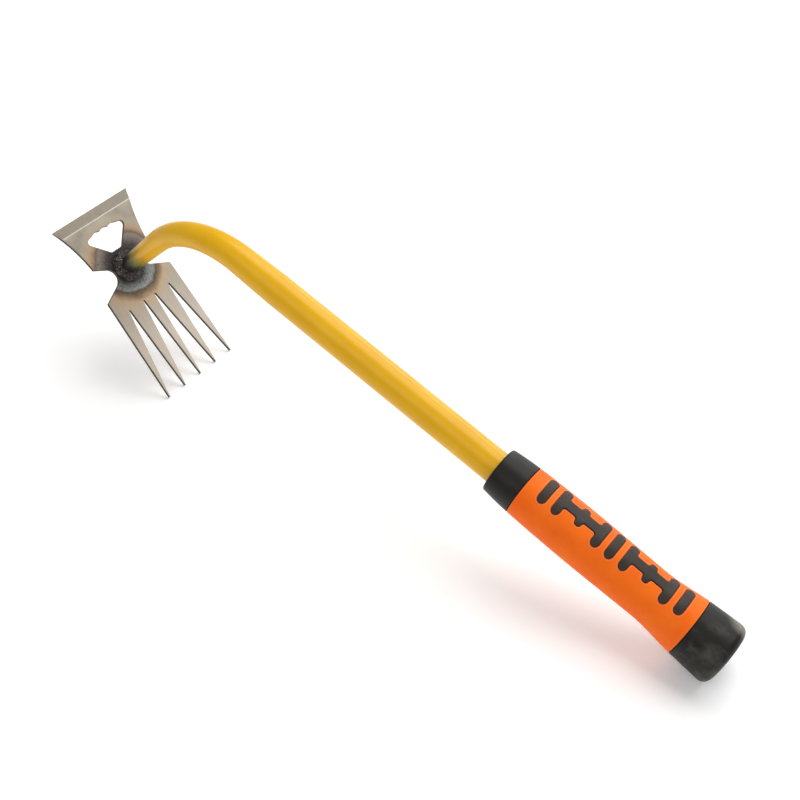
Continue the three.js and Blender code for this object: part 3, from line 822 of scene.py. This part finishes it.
def stamped_steel():
    """Stamped and ground carbon steel sheet, uncoated: satin, with fine grinding lines, dark sheared
    edges, and heat tints round the weld."""
    made, tree, shader, lay, edge = material("stamped_carbon_steel")
    reach = node(tree, "SeparateXYZ", {0: lay}).outputs["X"]

    # Grinding lines run from the blade to the fork, about 0.5 mm apart and 15 mm long
    stretched = node(tree, "Mapping", {"Vector": lay, "Scale": (1 / 15, 2, 1)}).outputs[0]
    lines = node(tree, "TexNoise", {"Vector": stretched, "Scale": 1, "Detail": 3}).outputs[0]
    cloud = node(tree, "TexNoise", {"Vector": lay, "Scale": 1 / 14, "Detail": 4}).outputs[0]
    grain = node(tree, "TexNoise", {"Vector": lay, "Scale": 1.4, "Detail": 3}).outputs[0]

    # Bare metal: warm grey on the blade, a little pinker towards the tips
    metal = node(
        tree, "ValToRGB", {0: cloud}, stops=((0.35, "#8b8376"), (0.7, "#a09889"))
    ).outputs[0]
    tips = node(tree, "MapRange", {"Value": reach, "From Min": 0, "From Max": 55}).outputs[0]
    pinker = node(
        tree, "Mix", {0: tips, COLOUR_A: metal, COLOUR_B: linear("#cbc1b4")}, data_type="RGBA"
    ).outputs[MIXED]
    bevel = node(
        tree, "MapRange",
        {"Value": reach, "From Min": RIDGE - 0.6, "From Max": RIDGE - 0.2, "To Min": 1, "To Max": 0},
    ).outputs[0]
    ground = node(
        tree, "Mix", {0: bevel, COLOUR_A: pinker, COLOUR_B: linear("#7d7569")}, data_type="RGBA"
    ).outputs[MIXED]

    # Heat tints: rings round the tube's foot, from soot through grey and brown to straw, grey and
    # narrower on the fork's side, their limit uneven
    flat = node(tree, "VectorMath", {0: lay, 1: (1, 1, 0)}, operation="MULTIPLY").outputs[0]
    radius = node(tree, "VectorMath", {0: flat}, operation="LENGTH").outputs["Value"]
    uneven = node(tree, "TexNoise", {"Vector": lay, "Scale": 1 / 12, "Detail": 2}).outputs[0]
    wander = node(tree, "MapRange", {"Value": uneven, "To Min": -3, "To Max": 3}).outputs[0]
    ring = node(tree, "Math", {0: radius, 1: wander}, operation="ADD").outputs[0]
    share = node(tree, "Math", {0: ring, 1: TINT_END}, operation="DIVIDE").outputs[0]
    fork_tint = node(
        tree, "ValToRGB", {0: share},
        stops=tints(
            (8, "#1f1d1c"), (11, "#454646"), (14, "#787b7a"), (17.5, "#8d908e"),
            (19.3, "#5b5047"), (21.5, "#857059"), (25, "#b9a388"), (33, "#b9ae9b"),
        ),
    ).outputs[0]
    blade_tint = node(
        tree, "ValToRGB", {0: share},
        stops=tints(
            (9, "#1f1c1c"), (15, "#463d3c"), (19, "#716760"), (21.5, "#83796e"),
            (23.5, "#6b5f56"), (25.5, "#9c8268"), (28, "#ab967d"), (35, "#b5aa98"),
        ),
    ).outputs[0]
    fork_side = node(tree, "MapRange", {"Value": reach, "From Min": -3, "From Max": 4}).outputs[0]
    tint = node(
        tree, "Mix", {0: fork_side, COLOUR_A: blade_tint, COLOUR_B: fork_tint}, data_type="RGBA"
    ).outputs[MIXED]
    bare = node(tree, "MapRange", {"Value": ring, "From Min": 27, "From Max": TINT_END}).outputs[0]
    coloured = node(
        tree, "Mix", {0: bare, COLOUR_A: tint, COLOUR_B: ground}, data_type="RGBA"
    ).outputs[MIXED]

    # Scale and soot in specks of about 1.5 mm, only where the metal got hot
    specks = node(
        tree, "TexNoise", {"Vector": lay, "Scale": 0.75, "Detail": 5, "Roughness": 0.7}
    ).outputs[0]
    dark = node(tree, "MapRange", {"Value": specks, "From Min": 0.5, "From Max": 0.62}).outputs[0]
    hot = node(
        tree, "MapRange", {"Value": ring, "From Min": 15, "From Max": 20, "To Min": 0.6, "To Max": 0}
    ).outputs[0]
    sooty = node(tree, "Math", {0: dark, 1: hot}, operation="MULTIPLY").outputs[0]
    flecks = node(
        tree, "MapRange",
        {"Value": specks, "From Min": 0.38, "From Max": 0.62, "To Min": -0.5, "To Max": 0.6},
    ).outputs[0]
    scaly = node(
        tree, "MapRange", {"Value": ring, "From Min": 16, "From Max": 22, "To Min": 1, "To Max": 0}
    ).outputs[0]
    fleck = node(tree, "Math", {0: flecks, 1: scaly, 2: 1}, operation="MULTIPLY_ADD").outputs[0]
    mottled = node(
        tree, "Mix", {0: sooty, COLOUR_A: coloured, COLOUR_B: linear("#2d2b2b")}, data_type="RGBA"
    ).outputs[MIXED]

    # A thin painted highlight runs along the ridge, and sheared edges are dark
    off_ridge = node(tree, "Math", {0: reach, 1: RIDGE}, operation="SUBTRACT").outputs[0]
    off_ridge = node(tree, "Math", {0: off_ridge}, operation="ABSOLUTE").outputs[0]
    glint = node(
        tree, "MapRange",
        {"Value": off_ridge, "From Min": 0.2, "From Max": 0.5, "To Min": 0.5, "To Max": 0},
    ).outputs[0]
    ridge_highlighted = node(
        tree, "Mix", {0: glint, COLOUR_A: mottled, COLOUR_B: linear("#c9c2b6")}, data_type="RGBA"
    ).outputs[MIXED]
    sheared = node(
        tree, "Mix", {0: edge, COLOUR_A: ridge_highlighted, COLOUR_B: linear("#4b4640")}, data_type="RGBA"
    ).outputs[MIXED]
    scratched = node(
        tree, "MapRange",
        {"Value": lines, "From Min": 0.3, "From Max": 0.7, "To Min": 0.88, "To Max": 1.06},
    ).outputs[0]
    shade = node(tree, "Math", {0: scratched, 1: fleck}, operation="MULTIPLY").outputs[0]
    colour = node(tree, "VectorMath", {0: sheared, "Scale": shade}, operation="SCALE").outputs[0]
    tree.links.new(colour, shader.inputs["Base Color"])

    metallic = node(
        tree, "MapRange", {"Value": ring, "From Min": 9, "From Max": 22, "To Min": 0.5, "To Max": 0.8}
    ).outputs[0]
    tree.links.new(metallic, shader.inputs["Metallic"])
    rough = node(
        tree, "MapRange", {"Value": ring, "From Min": 8, "From Max": 21, "To Min": 0.62, "To Max": 0.46}
    ).outputs[0]
    rough = node(tree, "Math", {0: cloud, 1: 0.12, 2: rough}, operation="MULTIPLY_ADD").outputs[0]
    tree.links.new(rough, shader.inputs["Roughness"])
    relief = node(tree, "Math", {0: lines, 1: grain}, operation="ADD").outputs[0]
    bump = node(tree, "Bump", {"Strength": 0.35, "Distance": 0.03 * MM, "Height": relief})
    tree.links.new(bump.outputs[0], shader.inputs["Normal"])
    return made


def weld_slag():
    """Weld metal as it cooled, sooty: near-black scale over lumps, with bright specks where the
    metal shows, and dark grey drops of spatter."""
    made, tree, shader, lay, edge = material("welded_steel_scale")
    specks = node(
        tree, "TexNoise", {"Vector": lay, "Scale": 1.1, "Detail": 5, "Roughness": 0.7}
    ).outputs[0]
    cloud = node(tree, "TexNoise", {"Vector": lay, "Scale": 1 / 3, "Detail": 3}).outputs[0]
    scale = node(
        tree, "ValToRGB", {0: cloud}, stops=((0.35, "#1e1c19"), (0.55, "#3d3531"), (0.72, "#655b54"))
    ).outputs[0]
    shine = node(tree, "MapRange", {"Value": specks, "From Min": 0.56, "From Max": 0.66}).outputs[0]
    bright = node(
        tree, "Mix", {0: shine, COLOUR_A: scale, COLOUR_B: linear("#a5a19d")}, data_type="RGBA"
    ).outputs[MIXED]
    drops = node(
        tree, "Mix", {0: edge, COLOUR_A: bright, COLOUR_B: linear("#57534f")}, data_type="RGBA"
    ).outputs[MIXED]
    tree.links.new(drops, shader.inputs["Base Color"])
    metallic = node(tree, "MapRange", {"Value": shine, "To Min": 0.45, "To Max": 1}).outputs[0]
    tree.links.new(metallic, shader.inputs["Metallic"])
    rough = node(tree, "MapRange", {"Value": shine, "To Min": 0.6, "To Max": 0.35}).outputs[0]
    tree.links.new(rough, shader.inputs["Roughness"])
    bump = node(tree, "Bump", {"Strength": 1, "Distance": 0.5 * MM, "Height": specks})
    tree.links.new(bump.outputs[0], shader.inputs["Normal"])
    return made


def baked_enamel():
    """Glossy golden-yellow enamel, baked on: smooth with a faint orange peel, and burnt through
    olive to soot by the heat of the weld."""
    made, tree, shader, lay, _ = material(
        "baked_yellow_enamel",
        Specular_IOR_Level=0.24, Coat_Weight=0.12, Coat_Roughness=0.2, Coat_IOR=1.5,
    )
    length = node(tree, "SeparateXYZ", {0: lay}).outputs["Z"]
    cloud = node(tree, "TexNoise", {"Vector": lay, "Scale": 1 / 25, "Detail": 3}).outputs[0]
    yellow = node(
        tree, "ValToRGB", {0: cloud}, stops=((0.3, "#e3a906"), (0.7, "#eab40c"))
    ).outputs[0]

    # Burnt: the limit wanders by about 6 mm, and brushed smears run up the tube
    smears = node(tree, "Mapping", {"Vector": lay, "Scale": (1 / 3, 1 / 3, 1 / 12)}).outputs[0]
    uneven = node(tree, "TexNoise", {"Vector": smears, "Scale": 1, "Detail": 4}).outputs[0]
    place = node(tree, "Math", {0: uneven, 1: -16, 2: length}, operation="MULTIPLY_ADD").outputs[0]
    share = node(tree, "MapRange", {"Value": place, "From Min": -2, "From Max": 30}).outputs[0]
    burnt = node(
        tree, "ValToRGB", {0: share},
        stops=(
            (0.12, "#242221"), (0.26, "#4a4934"), (0.42, "#7c7230"),
            (0.62, "#a88a22"), (0.95, "#dd9c0e"),
        ),
    ).outputs[0]
    healthy = node(tree, "MapRange", {"Value": share, "From Min": 0.7, "From Max": 1}).outputs[0]
    colour = node(
        tree, "Mix", {0: healthy, COLOUR_A: burnt, COLOUR_B: yellow}, data_type="RGBA"
    ).outputs[MIXED]
    tree.links.new(colour, shader.inputs["Base Color"])
    rough = node(tree, "MapRange", {"Value": share, "To Min": 0.6, "To Max": 0.3}).outputs[0]
    tree.links.new(rough, shader.inputs["Roughness"])
    peel = node(tree, "TexNoise", {"Vector": lay, "Scale": 0.5, "Detail": 2}).outputs[0]
    bump = node(tree, "Bump", {"Strength": 0.25, "Distance": 0.05 * MM, "Height": peel})
    tree.links.new(bump.outputs[0], shader.inputs["Normal"])
    return made


def soft_orange_rubber():
    """Moulded thermoplastic rubber, orange: satin, its eroded mould texture drawn at 0.6 mm, which
    is as fine as it still shows, with a paler painted highlight on the lips round the pads and on its
    rounded ends."""
    made, tree, shader, lay, edge = material("moulded_orange_rubber", Specular_IOR_Level=0.14)
    cloud = node(tree, "TexNoise", {"Vector": lay, "Scale": 1 / 18, "Detail": 3}).outputs[0]
    orange = node(
        tree, "ValToRGB", {0: cloud}, stops=((0.3, "#fa660c"), (0.7, "#ff7614"))
    ).outputs[0]
    # The lips round the pads and the rounded ends, marked by edge, get a paler painted highlight
    pale = node(tree, "Math", {0: edge, 1: 0.4}, operation="MULTIPLY").outputs[0]
    colour = node(
        tree, "Mix", {0: pale, COLOUR_A: orange, COLOUR_B: linear("#ff9a62")}, data_type="RGBA"
    ).outputs[MIXED]
    tree.links.new(colour, shader.inputs["Base Color"])
    rough = node(tree, "MapRange", {"Value": cloud, "To Min": 0.42, "To Max": 0.58}).outputs[0]
    tree.links.new(rough, shader.inputs["Roughness"])
    texture = node(tree, "TexNoise", {"Vector": lay, "Scale": 1.7, "Detail": 2}).outputs[0]
    bump = node(tree, "Bump", {"Strength": 0.3, "Distance": 0.05 * MM, "Height": texture})
    tree.links.new(bump.outputs[0], shader.inputs["Normal"])
    return made


def soft_black_rubber(name, dark, light, scuffs):
    """Moulded thermoplastic rubber, charcoal: matte, with cloudy grey scuffs, and a pale painted
    highlight within 9 mm of one spot on the shoulder of the butt."""
    made, tree, shader, lay, _ = material(name, Specular_IOR_Level=0.28)
    cloud = node(tree, "TexNoise", {"Vector": lay, "Scale": 1 / 12, "Detail": 4}).outputs[0]
    charcoal = node(tree, "ValToRGB", {0: cloud}, stops=((0.3, dark), (0.7, light))).outputs[0]
    smear = node(tree, "Mapping", {"Vector": lay, "Scale": (1 / 12, 1 / 12, 1 / 16)}).outputs[0]
    scuff_and_highlight_noise = node(
        tree, "TexNoise", {"Vector": smear, "Scale": 1, "Detail": 5, "Roughness": 0.62}
    ).outputs[0]
    worn = node(
        tree, "MapRange",
        {"Value": scuff_and_highlight_noise, "From Min": 0.5, "From Max": 0.85, "To Min": 0, "To Max": scuffs},
    ).outputs[0]
    scuffed = node(
        tree, "Mix", {0: worn, COLOUR_A: charcoal, COLOUR_B: linear("#7b776c")}, data_type="RGBA"
    ).outputs[MIXED]
    # A pale painted highlight round one spot on the butt's shoulder, broken up by the scuffs' noise
    away = node(tree, "VectorMath", {0: lay, 1: HIGHLIGHT_AT}, operation="DISTANCE").outputs["Value"]
    near = node(
        tree, "MapRange", {"Value": away, "From Min": 0, "From Max": 9, "To Min": 1.3, "To Max": 0}
    ).outputs[0]
    highlight = node(tree, "Math", {0: near, 1: scuff_and_highlight_noise}, operation="MULTIPLY", use_clamp=True).outputs[0]
    highlighted = node(
        tree, "Mix", {0: highlight, COLOUR_A: scuffed, COLOUR_B: linear("#a69f90")}, data_type="RGBA"
    ).outputs[MIXED]
    tree.links.new(highlighted, shader.inputs["Base Color"])
    rough = node(tree, "MapRange", {"Value": scuff_and_highlight_noise, "To Min": 0.55, "To Max": 0.38}).outputs[0]
    tree.links.new(rough, shader.inputs["Roughness"])
    texture = node(tree, "TexNoise", {"Vector": lay, "Scale": 1.7, "Detail": 2}).outputs[0]
    bump = node(tree, "Bump", {"Strength": 0.2, "Distance": 0.06 * MM, "Height": texture})
    tree.links.new(bump.outputs[0], shader.inputs["Normal"])
    return made


def core_plastic():
    """Moulded polypropylene, milky: the hidden core of the grip."""
    made, tree, shader, _, _ = material("moulded_polypropylene", Roughness=0.5)
    place = node(tree, "TexCoord", {}).outputs["Object"]
    cloud = node(tree, "TexNoise", {"Vector": place, "Scale": 60, "Detail": 3}).outputs[0]
    milky = node(
        tree, "ValToRGB", {0: cloud}, stops=((0.3, "#cfcabc"), (0.7, "#dcd8cc"))
    ).outputs[0]
    tree.links.new(milky, shader.inputs["Base Color"])
    return made


def studio_floor():
    """Plain white floor, matte, lit a little from within like a light table."""
    return material(
        "pale_floor",
        Base_Color=linear("#ffffff"), Roughness=0.9, Specular_IOR_Level=0.1,
        Emission_Color=linear("#ffffff"), Emission_Strength=0.12,
    )[0]


# ---------------------------------------------------------------- camera and light

# Metres, apart from the lens, which is in millimetres
AZIMUTH = math.radians(36.555)
ELEVATION = math.radians(44.551)
ROLL = math.radians(0.936)
DISTANCE = 0.7423
AIM_FROM_MIDDLE = (0.00917, 0.00809, 0.00105)
LENS = 56.25
LIGHTS_AIM = (0, 0, 0.05)
SKY_LIGHT = 0.38
FLOOR_HALF = 4


def direction(azimuth, elevation):
    """The way from the object to a camera or a light: azimuth 0 is on the -Y side."""
    level = math.cos(elevation)
    return Vector((math.sin(azimuth) * level, -math.cos(azimuth) * level, math.sin(elevation)))


def look_from(place, aim, roll=0.0):
    """A matrix at a place that looks at the aim, rolled about its line of sight."""
    turned_to = (place - aim).to_track_quat("Z", "Y").to_matrix().to_4x4()
    return Matrix.Translation(place) @ turned_to @ Matrix.Rotation(roll, 4, "Z")


def camera():
    """The camera, aimed near the middle of the part."""
    low, high = (Vector(corner) for corner in CAD_BOX)
    aim = (low + high) / 2 + Vector(AIM_FROM_MIDDLE)
    data = bpy.data.cameras.new("camera")
    data.lens = LENS
    made = bpy.data.objects.new("camera", data)
    bpy.context.scene.collection.objects.link(made)
    made.matrix_world = look_from(aim + DISTANCE * direction(AZIMUTH, ELEVATION), aim, ROLL)
    bpy.context.scene.camera = made


def area_light(name, azimuth, elevation, distance, size, power):
    """A soft white rectangular light that looks at the middle of the part: angles in degrees, and
    power in watts."""
    aim = Vector(LIGHTS_AIM)
    data = bpy.data.lights.new(name, "AREA")
    data.shape = "RECTANGLE"
    data.size, data.size_y = size
    data.energy = power
    made = bpy.data.objects.new(name, data)
    bpy.context.scene.collection.objects.link(made)
    away = direction(math.radians(azimuth), math.radians(elevation))
    made.matrix_world = look_from(aim + distance * away, aim)


def studio():
    """Plain pale floor under soft white light: a key and a rim light from behind, and a weak fill
    from the front."""
    scene = bpy.context.scene
    scene.view_settings.view_transform = "Standard"
    world = bpy.data.worlds.new("studio")
    world.use_nodes = True
    background = world.node_tree.nodes["Background"]
    background.inputs["Color"].default_value = linear("#ffffff")
    background.inputs["Strength"].default_value = SKY_LIGHT
    scene.world = world
    area_light("key", 170, 62, 1.5, (1.6, 1.1), 17)
    area_light("rim", 180, 22, 1.5, (1.0, 0.4), 6)
    area_light("fill", 10, 50, 1.6, (1.6, 0.8), 5)
    floor = bpy.data.meshes.new("floor")
    corners = [(x * FLOOR_HALF, y * FLOOR_HALF, 0) for x, y in ((-1, -1), (1, -1), (1, 1), (-1, 1))]
    floor.from_pydata(corners, [], [(0, 1, 2, 3)])
    floor.materials.append(studio_floor())
    made = bpy.data.objects.new("floor", floor)
    scene.collection.objects.link(made)


# ---------------------------------------------------------------- the tool

camera()
studio()

black = soft_black_rubber("moulded_black_rubber", "#100f08", "#17150e", 0.06)
worn_black = soft_black_rubber("worn_black_rubber", "#100f08", "#17150e", 0.45)
pad_black = soft_black_rubber("moulded_pad_rubber", "#2c221c", "#352a23", 0.08)

head_plate(stamped_steel())
weld_bead(weld_slag())
shaft_tube(baked_enamel())
front_collar(black)
grip_sleeve(soft_orange_rubber())
end_cap(worn_black)
for under in (False, True):
    for name, outline, at in pad_row():
        grip_pad(name, outline, at, under, pad_black)
frame["nodes"]["grip_core"].material_slots[0].material = core_plastic()
